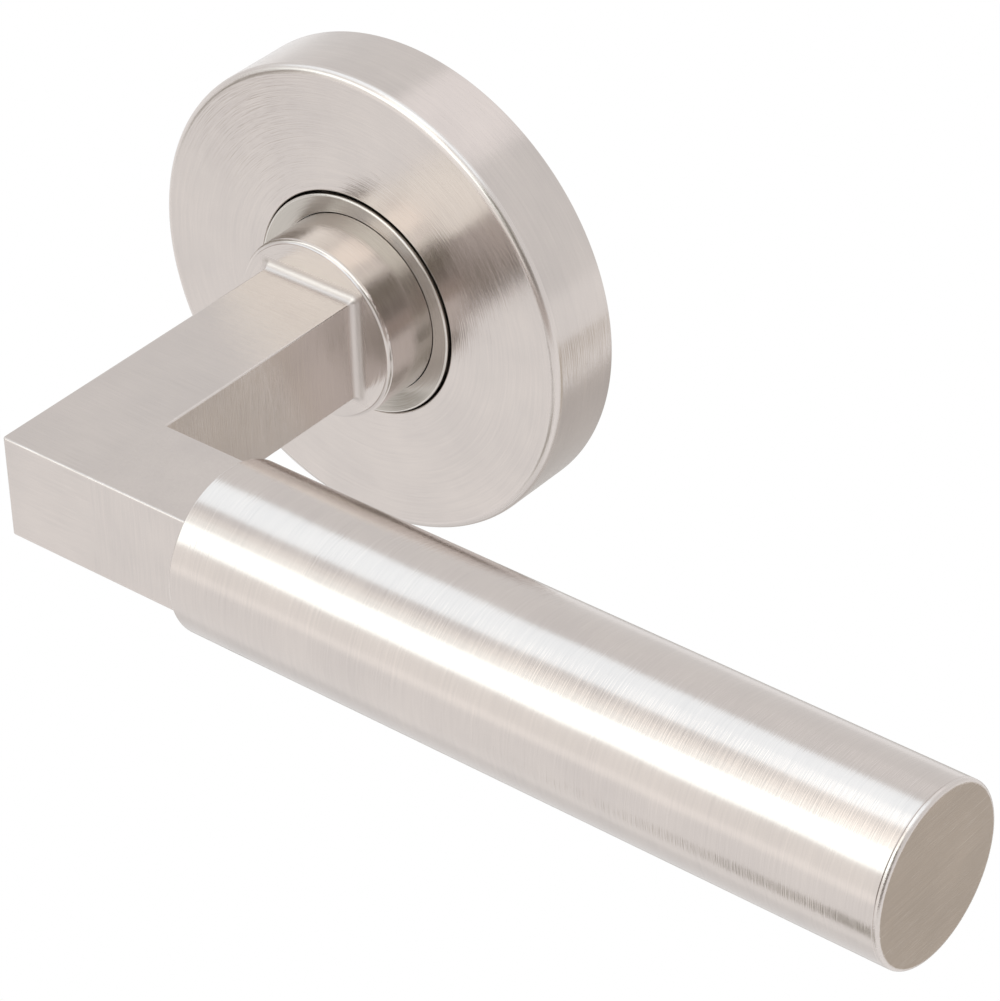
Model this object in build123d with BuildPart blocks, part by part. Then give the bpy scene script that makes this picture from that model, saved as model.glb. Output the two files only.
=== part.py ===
from build123d import *
import os
from math import asin, cos, degrees, radians, sin

# A sprung door lever handle on a round rose. Millimetres.
# The origin is the centre of the rose's back, in the plane of the door, on the spindle's axis.
# +X runs along the lever, +Z is up and +Y goes into the door, so a "depth" below is a distance
# out of the door, along -Y. A negative depth is inside the door.

# ---------------------------------------------------------------- driving dimensions

# Rose cover: a pressed cup that slides on over the base
rose_radius = 32.5
rose_front = 11.1
rose_wall = 1.5
rose_rim = 0.1
rose_edge_radius = 1.2
rose_hole_radius = 15.55
rose_hole_edge = 0.25

# Base plate, screwed flat to the door
plate_radius = 30.7
plate_front = 2.8
plate_edge = 0.3
fixing_circle_radius = 25.0
fixing_hole_radius = 2.1
fixing_sink_radius = 4.0

# O-ring in the plate's rim, which grips the cover
ring_cord_radius = 0.6
ring_middle_radius = 30.35
ring_depth = 1.4
ring_groove_radius = 29.7
ring_groove_width = 1.3

# Threaded posts that pass through the plate into the door
post_spacing = 38.0
post_radius = 4.0
post_length = 8.0
post_shoulder = 1.6
post_spigot_radius = 3.0
post_head_radius = 3.9
post_head_height = 0.7
post_head_edge = 0.35
post_tip_chamfer = 0.4
post_thread_radius = 1.65

# Lever shank, turning in the plate and in the front bush
shank_radius = 8.0
shank_back = -1.0
shank_flat = 6.75
shank_flat_front = 4.6
plate_bore_radius = 8.08
bush_bore_radius = 8.05

# Circlip and wave washer in a pocket on the plate's door side
pocket_radius = 11.0
pocket_depth = 1.6
clip_back = 0.1
clip_thickness = 1.0
clip_groove_radius = 7.6
clip_groove_clearance = 0.05
clip_outer_radius = 9.7
clip_lug_radius = 1.25
clip_lug_circle = 9.4
clip_lug_angle = 17.0
clip_hole_radius = 0.6
clip_gap_angle = 9.0
wave_thickness = 0.2
wave_rise = 0.24
wave_outer_radius = 10.4

# Thrust washer and spring driver
washer_thickness = 0.5
washer_outer_radius = 10.6
turning_gap = 0.05
driver_thickness = 1.2
driver_radius = 10.9
driver_hole_clearance = 0.05
tab_half_angle = 9.0
driver_tab_inner = 12.2
driver_tab_outer = 12.95
driver_tab_front = 8.7
stop_lug_half_angle = 12.0

# Stops at both ends of the lever's turn
lever_turn = 45.0
stop_pin_radius = 0.9
stop_pin_circle = 12.1
stop_pin_back = 0.8
stop_pin_front = 5.0
stop_pin_margin = 0.7

# Return spring, a two-turn torsion spring with both legs at the top
wire_radius = 0.7
coil_radius = 10.3
coil_pitch = 1.45
coil_back = 5.35
coil_turns = 2
leg_angle = 13.3
leg_radius = 0.66
leg_end_radius = 13.1

# Spring housing, a cup with two screwed ears
cup_outer_radius = 14.8
cup_inner_radius = 13.6
cup_wall_back = 9.0
cup_front = 9.9
cup_opening_radius = 10.25
cup_tab_inner = 11.25
cup_tab_outer = 12.05
cup_tab_back = 4.75
ear_spacing = 36.0
ear_width = 8.0
ear_thickness = 1.0
ear_hole_radius = 1.6

# M3 screws through the ears
ear_screw_radius = 1.5
ear_screw_length = 2.5
ear_screw_head_radius = 2.75
ear_screw_head_height = 1.6
ear_screw_head_edge = 0.7
ear_screw_slot_length = 3.0
ear_screw_slot_width = 0.7
ear_screw_slot_depth = 0.9

# Front bush, pressed into the housing's opening
bush_sleeve_radius = 8.85
bush_sleeve_back = 4.75
bush_body_radius = 10.2
bush_flange_radius = 12.3
bush_flange_thickness = 0.25

# Collar ring, pressed over the housing and showing in the rose's hole
collar_inner_radius = 12.65
collar_outer_radius = 15.3
collar_front = 11.7
collar_dish_front = 10.9
collar_skirt_inner = 14.82
collar_skirt_back = 8.0
collar_edge_radius = 0.2

# Lever: round neck, square bar with one right-angled bend, round grip
neck_radius = 12.5
neck_back = 10.2
neck_front = 19.2
neck_front_edge = 0.6
neck_back_edge = 0.3
bar_width = 14.0
bar_height = 14.0
bar_thickness = 13.6
bar_root_fillet = 1.2
bar_edge_radius = 0.22
bend_outer_radius = 0.5
bend_inner_radius = 3.1
projection = 67.1
grip_start = 22.9
grip_end = 122.0
grip_radius = 11.0
grip_bore_radius = 10.0
grip_rim_edge = 0.25
stub_radius = 5.0
stub_length = 10.0

# Plug that joins bar and grip tube, and the cap at the grip's free end
plug_length = 25.0
plug_clearance = 0.02
plug_edge = 0.6
cap_thickness = 0.7
cap_edge_radius = 0.5
cap_spigot_length = 6.0

# Spindle and the grub screw that holds it
spindle_width = 7.95
spindle_back = -20.0
spindle_front = 17.2
spindle_edge = 0.6
socket_width = 8.1
socket_front = 18.0
grub_radius = 2.5
grub_depth = 14.9
grub_bottom = -11.2
grub_edge = 0.4
grub_key_width = 2.5
grub_key_depth = 2.6

# How far a cut, or a shape that is joined on, runs past the face that it meets
overrun = 1.0

# How closely an edge must lie in a plane to be picked, and how far a pick keeps off its neighbours
pick_tolerance = 0.001
pick_margin = 0.1

# ---------------------------------------------------------------- worked out from those

clip_front = clip_back + clip_thickness
washer_front = plate_front + washer_thickness
driver_back = washer_front + turning_gap
ear_front = plate_front + ear_thickness
bush_front = cup_front + bush_flange_thickness
grip_depth = projection - bar_thickness / 2
cap_back = grip_end - cap_thickness
top = 90
bottom = -90
pin_angle = (
    stop_lug_half_angle
    + lever_turn
    + degrees(asin(stop_pin_radius / stop_pin_circle))
    + stop_pin_margin
)
coil_sweep = 360 * coil_turns - 2 * leg_angle
coil_height = coil_pitch * coil_sweep / 360

# Local x is the distance from the spindle's axis and local y is the depth.
turning_plane = Plane(origin=(0, 0, 0), x_dir=(1, 0, 0), z_dir=(0, 0, -1))

# Local x is the distance along the lever and local y the distance from the grip's axis.
grip_plane = Plane(origin=(0, -grip_depth, 0), x_dir=(1, 0, 0), z_dir=(0, 0, 1))
grip_axis = Axis((0, -grip_depth, 0), (1, 0, 0))


def at_depth(depth):
    """The plane parallel to the door at this depth, facing out of the door."""
    return Plane.XZ.offset(depth)


def ring_sector(inner, outer, half_angle, middle_angle):
    """A flat piece of a ring, between two radii and two radial edges."""
    with BuildSketch() as sector:
        with BuildLine():
            near = CenterArc((0, 0), inner, middle_angle - half_angle, 2 * half_angle)
            far = CenterArc((0, 0), outer, middle_angle - half_angle, 2 * half_angle)
            Line(near @ 0, far @ 0)
            Line(near @ 1, far @ 1)
        make_face()
    return sector.sketch


def double_d(radius, flat):
    """A circle with a flat on its left and on its right."""
    with BuildSketch() as shape:
        Circle(radius)
        Rectangle(2 * flat, 2 * radius, mode=Mode.INTERSECT)
    return shape.sketch


def edges_at_depth(piece, depth, widest=rose_radius + overrun):
    """The edges that lie in the plane at this depth, within a distance of the spindle's axis."""
    level = [e for e in piece.edges() if abs(e.bounding_box().min.Y + depth) < pick_tolerance]
    level = [e for e in level if abs(e.bounding_box().max.Y + depth) < pick_tolerance]
    return ShapeList(e for e in level if e.bounding_box().max.X < widest)


# ---------------------------------------------------------------- rose

with BuildPart() as rose_cover:
    with BuildSketch(turning_plane):
        with BuildLine():
            Polyline(
                (rose_radius - rose_wall, rose_rim),
                (rose_radius, rose_rim),
                (rose_radius, rose_front),
                (rose_hole_radius, rose_front),
                (rose_hole_radius, rose_front - rose_wall),
                (rose_radius - rose_wall, rose_front - rose_wall),
                close=True,
            )
        make_face()
    revolve(axis=Axis.Y)
    fillet(edges_at_depth(rose_cover, rose_front).sort_by(SortBy.RADIUS)[-1], rose_edge_radius)
    fillet(edges_at_depth(rose_cover, rose_front).sort_by(SortBy.RADIUS)[0], rose_hole_edge)

with BuildPart() as base_plate:
    with BuildSketch(turning_plane):
        with BuildLine():
            Polyline(
                (plate_bore_radius, pocket_depth),
                (pocket_radius, pocket_depth),
                (pocket_radius, 0),
                (plate_radius, 0),
                (plate_radius, ring_depth - ring_groove_width / 2),
                (ring_groove_radius, ring_depth - ring_groove_width / 2),
                (ring_groove_radius, ring_depth + ring_groove_width / 2),
                (plate_radius, ring_depth + ring_groove_width / 2),
                (plate_radius, plate_front - plate_edge),
                (plate_radius - plate_edge, plate_front),
                (plate_bore_radius, plate_front),
                close=True,
            )
        make_face()
    revolve(axis=Axis.Y)
    with Locations(at_depth(plate_front)):
        with PolarLocations(fixing_circle_radius, 4, start_angle=45):
            CounterSinkHole(radius=fixing_hole_radius, counter_sink_radius=fixing_sink_radius)
        with GridLocations(post_spacing, 0, 2, 1):
            Hole(radius=post_spigot_radius)
        with GridLocations(0, ear_spacing, 1, 2):
            Hole(radius=ear_screw_radius, depth=ear_screw_length)
        for side in (-1, 1):
            with PolarLocations(stop_pin_circle, 1, start_angle=bottom + side * pin_angle):
                Hole(radius=stop_pin_radius, depth=plate_front - stop_pin_back)
    with BuildSketch(at_depth(0)):
        with GridLocations(post_spacing, 0, 2, 1):
            Circle(post_radius)
    extrude(amount=post_shoulder, mode=Mode.SUBTRACT)

with BuildPart() as cover_o_ring:
    with Locations(at_depth(ring_depth)):
        Torus(ring_middle_radius, ring_cord_radius)

# Each post is pressed in from the door side and its spigot is riveted over in front.
with BuildPart() as mounting_posts:
    with BuildSketch(at_depth(-post_length)):
        with GridLocations(post_spacing, 0, 2, 1):
            Circle(post_radius)
    extrude(amount=post_length + post_shoulder)
    chamfer(edges_at_depth(mounting_posts, -post_length), post_tip_chamfer)
    with BuildSketch(at_depth(post_shoulder)):
        with GridLocations(post_spacing, 0, 2, 1):
            Circle(post_spigot_radius)
    extrude(amount=plate_front - post_shoulder)
    with BuildSketch(at_depth(plate_front)):
        with GridLocations(post_spacing, 0, 2, 1):
            Circle(post_head_radius)
    extrude(amount=post_head_height)
    fillet(edges_at_depth(mounting_posts, plate_front + post_head_height), post_head_edge)
    with BuildSketch(at_depth(-post_length)):
        with GridLocations(post_spacing, 0, 2, 1):
            Circle(post_thread_radius)
    extrude(amount=post_length, mode=Mode.SUBTRACT)

# ---------------------------------------------------------------- spring unit

with BuildPart() as spring_housing:
    with BuildSketch(turning_plane):
        with BuildLine():
            Polyline(
                (cup_inner_radius, plate_front),
                (cup_outer_radius, plate_front),
                (cup_outer_radius, cup_front),
                (cup_opening_radius, cup_front),
                (cup_opening_radius, cup_wall_back),
                (cup_inner_radius, cup_wall_back),
                close=True,
            )
        make_face()
    revolve(axis=Axis.Y)
    with BuildSketch(at_depth(plate_front)):
        SlotCenterToCenter(ear_spacing, ear_width, rotation=90)
        Circle(cup_inner_radius, mode=Mode.SUBTRACT)
        with GridLocations(0, ear_spacing, 1, 2):
            Circle(ear_hole_radius, mode=Mode.SUBTRACT)
    extrude(amount=ear_thickness)
    # The fixed tab between the spring's legs
    with BuildSketch(at_depth(cup_tab_back)):
        add(ring_sector(cup_tab_inner, cup_tab_outer, tab_half_angle, top))
    extrude(amount=cup_front - cup_tab_back)

with BuildPart() as housing_screws:
    with BuildSketch(at_depth(plate_front - ear_screw_length)):
        with GridLocations(0, ear_spacing, 1, 2):
            Circle(ear_screw_radius)
    extrude(amount=ear_screw_length + ear_thickness)
    with BuildSketch(at_depth(ear_front)):
        with GridLocations(0, ear_spacing, 1, 2):
            Circle(ear_screw_head_radius)
    extrude(amount=ear_screw_head_height)
    fillet(edges_at_depth(housing_screws, ear_front + ear_screw_head_height), ear_screw_head_edge)
    # Cross recesses
    with BuildSketch(at_depth(ear_front + ear_screw_head_height)):
        with GridLocations(0, ear_spacing, 1, 2):
            Rectangle(ear_screw_slot_length, ear_screw_slot_width)
            Rectangle(ear_screw_slot_width, ear_screw_slot_length)
    extrude(amount=-ear_screw_slot_depth, mode=Mode.SUBTRACT)

with BuildPart() as stop_pins:
    with BuildSketch(at_depth(stop_pin_back)):
        for side in (-1, 1):
            with PolarLocations(stop_pin_circle, 1, start_angle=bottom + side * pin_angle):
                Circle(stop_pin_radius)
    extrude(amount=stop_pin_front - stop_pin_back)

with BuildPart() as thrust_washer:
    with BuildSketch(at_depth(plate_front)):
        Circle(washer_outer_radius)
        Circle(plate_bore_radius, mode=Mode.SUBTRACT)
    extrude(amount=washer_thickness)

with BuildPart() as spring_driver:
    with BuildSketch(at_depth(driver_back)):
        Circle(driver_radius)
        add(ring_sector(driver_radius - overrun, driver_tab_outer, tab_half_angle, top))
        add(ring_sector(driver_radius - overrun, driver_tab_outer, stop_lug_half_angle, bottom))
        add(
            double_d(shank_radius + driver_hole_clearance, shank_flat + driver_hole_clearance),
            mode=Mode.SUBTRACT,
        )
    extrude(amount=driver_thickness)
    # The tab that pushes one leg of the spring or the other
    with BuildSketch(at_depth(driver_back)):
        add(ring_sector(driver_tab_inner, driver_tab_outer, tab_half_angle, top))
    extrude(amount=driver_tab_front - driver_back)

# The coil starts at the back leg, goes round away from the tabs and ends at the front leg.
# Each leg is a straight radial wire, a touch thinner than the coil where it leaves it.
first_leg_angle = radians(top + leg_angle)
first_leg_direction = (cos(first_leg_angle), 0, sin(first_leg_angle))
coil_plane = Plane(origin=(0, -coil_back, 0), x_dir=first_leg_direction, z_dir=(0, -1, 0))
coil = coil_plane * Helix(coil_pitch, coil_height, coil_radius)
with BuildPart() as return_spring:
    with BuildSketch(Plane(origin=coil @ 0, z_dir=coil % 0)):
        Circle(wire_radius)
    sweep(path=coil, is_frenet=True)
    for leg_start in (coil @ 0, coil @ 1):
        outward = Vector(leg_start.X, 0, leg_start.Z).normalized()
        with BuildSketch(Plane(origin=leg_start, z_dir=outward)):
            Circle(leg_radius)
        extrude(amount=leg_end_radius - coil_radius)

with BuildPart() as bearing_bush:
    with BuildSketch(turning_plane):
        with BuildLine():
            Polyline(
                (bush_bore_radius, bush_sleeve_back),
                (bush_sleeve_radius, bush_sleeve_back),
                (bush_sleeve_radius, cup_wall_back),
                (bush_body_radius, cup_wall_back),
                (bush_body_radius, cup_front),
                (bush_flange_radius, cup_front),
                (bush_flange_radius, bush_front),
                (bush_bore_radius, bush_front),
                close=True,
            )
        make_face()
    revolve(axis=Axis.Y)

with BuildPart() as collar_ring:
    with BuildSketch(turning_plane):
        with BuildLine():
            Polyline(
                (collar_inner_radius, cup_front),
                (collar_skirt_inner, cup_front),
                (collar_skirt_inner, collar_skirt_back),
                (collar_outer_radius, collar_skirt_back),
                (collar_outer_radius, collar_front),
                (collar_inner_radius, collar_dish_front),
                close=True,
            )
        make_face()
    revolve(axis=Axis.Y)
    fillet(edges_at_depth(collar_ring, collar_front), collar_edge_radius)

# ---------------------------------------------------------------- lever

with BuildPart() as lever_arm:
    # The square bar, drawn from above, with its bend
    with BuildSketch(Plane.XY.offset(-bar_height / 2)):
        with BuildLine():
            Polyline(
                (-bar_width / 2, -neck_back - neck_front_edge),
                (-bar_width / 2, -projection),
                (grip_start, -projection),
                (grip_start, bar_thickness - projection),
                (bar_width / 2, bar_thickness - projection),
                (bar_width / 2, -neck_back - neck_front_edge),
                close=True,
            )
        outline = make_face()
        corners = outline.vertices()
        fillet(corners.sort_by_distance((-bar_width / 2, -projection))[0], bend_outer_radius)
        fillet(
            corners.sort_by_distance((bar_width / 2, bar_thickness - projection))[0],
            bend_inner_radius,
        )
    extrude(amount=bar_height)
    long_edges = lever_arm.faces().filter_by(Axis.Z).edges()
    long_edges = long_edges.filter_by(lambda e: e.center().X < grip_start - pick_margin)
    long_edges = long_edges.filter_by(lambda e: e.center().Y < -neck_back - neck_front_edge - pick_margin)
    fillet(long_edges, bar_edge_radius)
    # Neck and shank, turned in one piece with the bar
    with BuildSketch(turning_plane):
        with BuildLine():
            Polyline(
                (0, neck_front),
                (0, shank_back),
                (shank_radius, shank_back),
                (shank_radius, neck_back),
                (neck_radius - neck_back_edge, neck_back),
                (neck_radius, neck_back + neck_back_edge),
                (neck_radius, neck_front - neck_front_edge),
            )
            RadiusArc(
                (neck_radius, neck_front - neck_front_edge),
                (neck_radius - neck_front_edge, neck_front),
                neck_front_edge,
            )
            Line((neck_radius - neck_front_edge, neck_front), (0, neck_front))
        make_face()
    revolve(axis=Axis.Y)
    bar_root = edges_at_depth(lever_arm, neck_front, widest=bar_width / 2 + pick_margin)
    fillet(bar_root, bar_root_fillet)
    # The stub that locates the grip's plug
    with BuildSketch(Plane.YZ.offset(grip_start)):
        with Locations((-grip_depth, 0)):
            Circle(stub_radius)
    extrude(amount=stub_length)
    # Flats, circlip groove and spindle socket in the shank
    with BuildSketch(at_depth(shank_back)):
        Circle(shank_radius + overrun)
        add(double_d(shank_radius + overrun, shank_flat), mode=Mode.SUBTRACT)
    extrude(amount=shank_flat_front - shank_back, mode=Mode.SUBTRACT)
    with BuildSketch(at_depth(clip_back - clip_groove_clearance)):
        Circle(shank_radius + overrun)
        Circle(clip_groove_radius, mode=Mode.SUBTRACT)
    extrude(amount=clip_thickness + 2 * clip_groove_clearance, mode=Mode.SUBTRACT)
    with BuildSketch(at_depth(shank_back)):
        Rectangle(socket_width, socket_width)
    extrude(amount=socket_front - shank_back, mode=Mode.SUBTRACT)
    # The grub screw's hole, from the underside into the socket
    with BuildSketch(Plane.XY.offset(-neck_radius - overrun)):
        with Locations((0, -grub_depth)):
            Circle(grub_radius)
    extrude(amount=neck_radius + overrun, mode=Mode.SUBTRACT)

with BuildPart() as grip_plug:
    with BuildSketch(grip_plane):
        with BuildLine():
            Polyline(
                (grip_start, stub_radius + plug_clearance),
                (grip_start, grip_bore_radius - plug_clearance),
                (grip_start + plug_length - plug_edge, grip_bore_radius - plug_clearance),
                (grip_start + plug_length, grip_bore_radius - plug_clearance - plug_edge),
                (grip_start + plug_length, 0),
                (grip_start + stub_length + plug_clearance, 0),
                (grip_start + stub_length + plug_clearance, stub_radius + plug_clearance),
                close=True,
            )
        make_face()
    revolve(axis=grip_axis)

with BuildPart() as grip_tube:
    with BuildSketch(grip_plane):
        with BuildLine():
            Polyline(
                (grip_start, grip_bore_radius),
                (grip_start, grip_radius),
                (cap_back, grip_radius),
                (cap_back, grip_bore_radius),
                close=True,
            )
        make_face()
    revolve(axis=grip_axis)
    rim = grip_tube.edges().group_by(Axis.X)[0].sort_by(SortBy.RADIUS)[-1]
    fillet(rim, grip_rim_edge)

with BuildPart() as grip_end_cap:
    with BuildSketch(grip_plane):
        with BuildLine():
            Polyline(
                (cap_back - cap_spigot_length, 0),
                (cap_back - cap_spigot_length, grip_bore_radius - plug_clearance),
                (cap_back, grip_bore_radius - plug_clearance),
                (cap_back, grip_radius),
                (grip_end, grip_radius),
                (grip_end, 0),
                close=True,
            )
        make_face()
    revolve(axis=grip_axis)
    fillet(grip_end_cap.edges().group_by(Axis.X)[-1], cap_edge_radius)

# ---------------------------------------------------------------- what holds the lever in

with BuildPart() as circlip:
    with BuildSketch(at_depth(clip_back)):
        Circle(clip_outer_radius)
        for side in (-1, 1):
            with PolarLocations(clip_lug_circle, 1, start_angle=bottom + side * clip_lug_angle):
                Circle(clip_lug_radius)
                Circle(clip_hole_radius, mode=Mode.SUBTRACT)
        Circle(clip_groove_radius, mode=Mode.SUBTRACT)
        add(
            ring_sector(clip_groove_radius - overrun, pocket_radius, clip_gap_angle, bottom),
            mode=Mode.SUBTRACT,
        )
    extrude(amount=clip_thickness)

# A flat ring bent to a shallow arc, seen from above
with BuildPart() as wave_washer:
    with BuildSketch(Plane.XY.offset(-wave_outer_radius)):
        with BuildLine():
            hollow_side = SagittaArc(
                (-wave_outer_radius, -clip_front),
                (wave_outer_radius, -clip_front),
                -wave_rise,
            )
            raised_side = SagittaArc(
                (-wave_outer_radius, -clip_front - wave_thickness),
                (wave_outer_radius, -clip_front - wave_thickness),
                -wave_rise,
            )
            Line(hollow_side @ 0, raised_side @ 0)
            Line(hollow_side @ 1, raised_side @ 1)
        make_face()
    extrude(amount=2 * wave_outer_radius)
    with BuildSketch(at_depth(0)):
        Circle(wave_outer_radius)
        Circle(plate_bore_radius, mode=Mode.SUBTRACT)
    extrude(amount=pocket_depth, mode=Mode.INTERSECT)

with BuildPart() as spindle:
    with BuildSketch(at_depth(spindle_back)):
        Rectangle(spindle_width, spindle_width)
    extrude(amount=spindle_front - spindle_back)
    chamfer(spindle.faces().filter_by(Axis.Y).edges(), spindle_edge)

with BuildPart() as spindle_grub_screw:
    with BuildSketch(Plane.XY.offset(grub_bottom)):
        with Locations((0, -grub_depth)):
            Circle(grub_radius)
    extrude(amount=-grub_bottom - spindle_width / 2)
    chamfer(spindle_grub_screw.edges().filter_by(GeomType.CIRCLE), grub_edge)
    with BuildSketch(Plane.XY.offset(grub_bottom)):
        with Locations((0, -grub_depth)):
            RegularPolygon(grub_key_width / 2, 6, major_radius=False)
    extrude(amount=grub_key_depth, mode=Mode.SUBTRACT)

# ---------------------------------------------------------------- one file for each piece

pieces = {
    "base_plate": base_plate,
    "mounting_posts": mounting_posts,
    "cover_o_ring": cover_o_ring,
    "rose_cover": rose_cover,
    "collar_ring": collar_ring,
    "spring_housing": spring_housing,
    "housing_screws": housing_screws,
    "stop_pins": stop_pins,
    "return_spring": return_spring,
    "spring_driver": spring_driver,
    "thrust_washer": thrust_washer,
    "bearing_bush": bearing_bush,
    "wave_washer": wave_washer,
    "circlip": circlip,
    "lever_arm": lever_arm,
    "grip_plug": grip_plug,
    "grip_tube": grip_tube,
    "grip_end_cap": grip_end_cap,
    "spindle": spindle,
    "spindle_grub_screw": spindle_grub_screw,
}

os.makedirs("parts", exist_ok=True)
for name, piece in pieces.items():
    piece.part.label = name
    export_step(piece.part, f"parts/{name}.step")
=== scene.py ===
"""Looks for a sprung door lever handle on a round rose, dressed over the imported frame.

Lengths are in millimetres until they reach a mesh, which is in metres; the studio is in metres
throughout. +X runs along the lever, +Z is up and +Y goes into the door; a depth is a distance
out of the door, along -Y.
"""
import logging
import math
from collections.abc import Callable, Sequence
from dataclasses import dataclass, field
from enum import Enum
from functools import reduce

import bmesh
import bpy
import numpy as np
from mathutils import Matrix, Vector


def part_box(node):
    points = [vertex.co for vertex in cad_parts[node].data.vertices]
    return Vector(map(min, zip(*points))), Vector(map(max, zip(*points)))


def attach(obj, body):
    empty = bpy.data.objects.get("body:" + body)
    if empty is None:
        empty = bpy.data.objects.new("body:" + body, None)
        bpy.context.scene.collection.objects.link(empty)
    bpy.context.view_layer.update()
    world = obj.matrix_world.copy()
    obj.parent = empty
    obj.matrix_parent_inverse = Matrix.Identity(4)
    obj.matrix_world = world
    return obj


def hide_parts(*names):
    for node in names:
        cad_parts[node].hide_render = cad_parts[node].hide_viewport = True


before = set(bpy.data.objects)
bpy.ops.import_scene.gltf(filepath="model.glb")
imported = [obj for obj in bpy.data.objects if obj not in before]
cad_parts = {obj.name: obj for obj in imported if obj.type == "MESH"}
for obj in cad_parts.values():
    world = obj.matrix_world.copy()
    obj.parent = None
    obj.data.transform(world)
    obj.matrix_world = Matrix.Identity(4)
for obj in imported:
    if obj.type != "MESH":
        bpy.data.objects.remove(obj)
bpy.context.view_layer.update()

log = logging.getLogger("door_handle")

MM = 0.001
# How far apart the patterns of one finish are drawn from each other
COARSE_SEED, CLOUD_SEED, WAVE_SEED = 5.0, 9.0, 12.0
PIT_SEED, MARK_SEED = 3.0, 6.0
# In metres: points nearer than the first are merged, edges shorter than the second dissolved
MERGE, COLLAPSE = 1e-8, 1e-9
Colour = tuple[float, float, float]
Point = tuple[float, float, float]
Weights = tuple[float, ...]
# Where something starts and where it is full: two distances or two levels
Span = tuple[float, float]


# ---------------------------------------------------------------- shader expressions


class Term:
    """One output socket of a material, with arithmetic that adds Math nodes."""

    def __init__(self, tree: "ShaderTree", socket: bpy.types.NodeSocket) -> None:
        """Keep the socket and the tree that it belongs to."""
        self.tree = tree
        self.socket = socket

    def maths(self, operation: str, *others: "Term | float") -> "Term":
        """Add a Math node whose first input is this term.

        Args:
            operation: The Math node's operation.
            others: Its further inputs, terms or numbers.

        Returns:
            The node's value.
        """
        return self.tree.node(
            "ShaderNodeMath", {"operation": operation}, dict(enumerate([self, *others]))
        )

    def __add__(self, other: "Term | float") -> "Term":
        """This plus other."""
        return self.maths("ADD", other)

    __radd__ = __add__

    def __sub__(self, other: "Term | float") -> "Term":
        """This less other."""
        return self.maths("SUBTRACT", other)

    def __rsub__(self, other: float) -> "Term":
        """A number less this."""
        return self.tree.node(
            "ShaderNodeMath", {"operation": "SUBTRACT"}, {0: float(other), 1: self}
        )

    def __mul__(self, other: "Term | float") -> "Term":
        """This times other."""
        return self.maths("MULTIPLY", other)

    __rmul__ = __mul__

    def __abs__(self) -> "Term":
        """This without its sign."""
        return self.maths("ABSOLUTE")

    def root(self) -> "Term":
        """The square root of this."""
        return self.maths("SQRT")

    def largest(self, other: "Term | float") -> "Term":
        """The larger of this and other."""
        return self.maths("MAXIMUM", other)

    def ramp(self, low: float, high: float) -> "Term":
        """A smooth step of this.

        Args:
            low: Where the step is still 0.
            high: Where it has reached 1; below low, the step falls instead of rising.

        Returns:
            A term from 0 to 1.
        """
        rising = low < high
        return self.tree.node(
            "ShaderNodeMapRange",
            {"interpolation_type": "SMOOTHSTEP"},
            {
                "Value": self,
                "From Min": min(low, high),
                "From Max": max(low, high),
                "To Min": 0.0 if rising else 1.0,
                "To Max": 1.0 if rising else 0.0,
            },
            "Result",
        )

    def other(self, output: str) -> "Term":
        """Another output of the node that gives this term."""
        return Term(self.tree, self.socket.node.outputs[output])


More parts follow.
